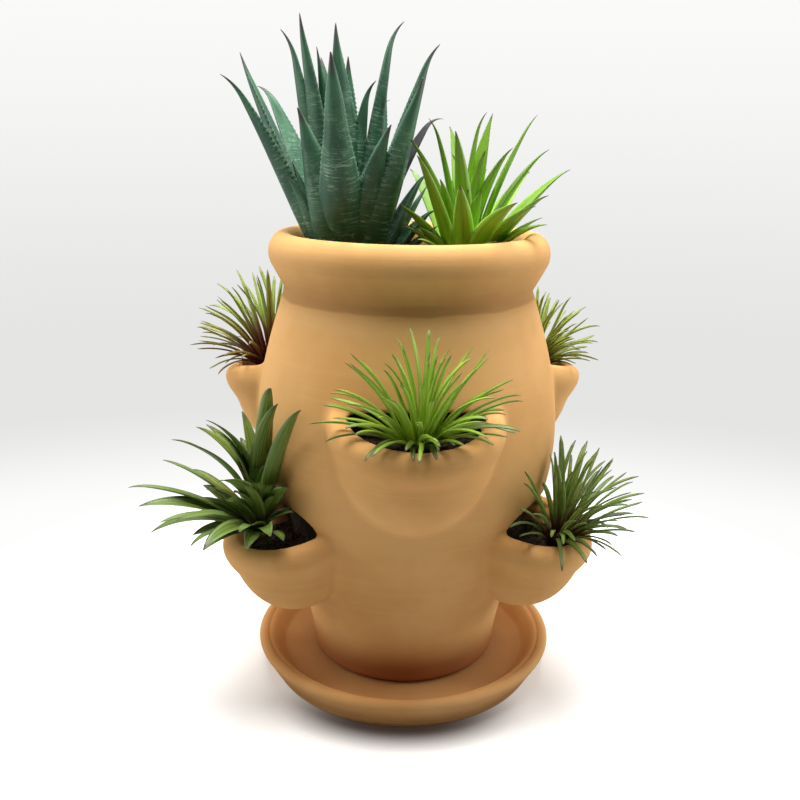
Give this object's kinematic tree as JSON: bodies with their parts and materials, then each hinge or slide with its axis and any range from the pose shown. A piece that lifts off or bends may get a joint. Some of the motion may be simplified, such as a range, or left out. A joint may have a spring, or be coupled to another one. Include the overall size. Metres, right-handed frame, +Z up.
{
  "type": "strawberry jar planter",
  "caption": "Terracotta strawberry jar with a rolled rim and two staggered tiers of side pockets, in a saucer, filled with soil and artificial succulents that lift out.",
  "frame": {"origin": "centre of the saucer's flat underside", "axes": "+Z up along the jar's axis, -Y towards the pocket that faces the viewer, +X to the viewer's right"},
  "size_m": [0.3306, 0.3413, 0.43],
  "materials": {
    "terracotta": "matt unglazed terracotta, faint horizontal throwing lines",
    "terracotta_saucer": "matt unglazed terracotta, slightly darker",
    "potting_mix": "loose dark potting mix of bark and peat crumbs",
    "stem_green": "matt",
    "stem_red": "matt",
    "aloe_leaf": "matt, dark blue-green with pale cross ripples and purplish tips",
    "yucca_leaf": "satin, bright yellow-green, finely grooved",
    "dracaena_leaf": "satin, dark green with a brownish midrib",
    "grass_light": "satin, light green",
    "grass_dark": "satin, dark green, reddish at the base",
    "grass_red": "satin, red-brown base with green tips"
  },
  "bodies": {
    "saucer": {"saucer": "terracotta_saucer"},
    "jar": {"jar": "terracotta", "potting_soil": "potting_mix"},
    "aloe": {"aloe_stem": "stem_green", "aloe_outer_leaves": "aloe_leaf", "aloe_middle_leaves": "aloe_leaf", "aloe_inner_leaves": "aloe_leaf"},
    "yucca": {"yucca_stem": "stem_green", "yucca_outer_leaves": "yucca_leaf", "yucca_inner_leaves": "yucca_leaf"},
    "dracaena": {"dracaena_stem": "stem_green", "dracaena_outer_leaves": "dracaena_leaf", "dracaena_inner_leaves": "dracaena_leaf"},
    "front_grass": {"front_grass_stem": "stem_green", "front_grass_outer_leaves": "grass_light", "front_grass_inner_leaves": "grass_light"},
    "right_grass": {"right_grass_stem": "stem_green", "right_grass_outer_leaves": "grass_dark", "right_grass_inner_leaves": "grass_dark"},
    "rear_left_grass": {"rear_left_grass_stem": "stem_red", "rear_left_grass_outer_leaves": "grass_red", "rear_left_grass_inner_leaves": "grass_red"},
    "rear_right_grass": {"rear_right_grass_stem": "stem_green", "rear_right_grass_outer_leaves": "grass_light", "rear_right_grass_inner_leaves": "grass_light"},
    "rear_grass": {"rear_grass_stem": "stem_green", "rear_grass_outer_leaves": "grass_dark", "rear_grass_inner_leaves": "grass_dark"}
  },
  "joints": [
    {"name": "jar_lift", "type": "slide", "parent": "saucer", "child": "jar", "axis": [0, 0, 1], "range_m": [0, 0.06]},
    {"name": "aloe_lift", "type": "slide", "parent": "jar", "child": "aloe", "axis": [-0.1378, -0.0194, 0.9903], "range_m": [0, 0.035]},
    {"name": "yucca_lift", "type": "slide", "parent": "jar", "child": "yucca", "axis": [0.1261, -0.0588, 0.9903], "range_m": [0, 0.035]},
    {"name": "dracaena_lift", "type": "slide", "parent": "jar", "child": "dracaena", "axis": [-0.3796, -0.2192, 0.8988], "range_m": [0, 0.035]},
    {"name": "front_grass_lift", "type": "slide", "parent": "jar", "child": "front_grass", "axis": [0, -0.2419, 0.9703], "range_m": [0, 0.035]},
    {"name": "right_grass_lift", "type": "slide", "parent": "jar", "child": "right_grass", "axis": [0.3796, -0.2192, 0.8988], "range_m": [0, 0.035]},
    {"name": "rear_left_grass_lift", "type": "slide", "parent": "jar", "child": "rear_left_grass", "axis": [-0.2095, 0.121, 0.9703], "range_m": [0, 0.035]},
    {"name": "rear_right_grass_lift", "type": "slide", "parent": "jar", "child": "rear_right_grass", "axis": [0.2095, 0.121, 0.9703], "range_m": [0, 0.035]},
    {"name": "rear_grass_lift", "type": "slide", "parent": "jar", "child": "rear_grass", "axis": [0, 0.4384, 0.8988], "range_m": [0, 0.035]}
  ]
}
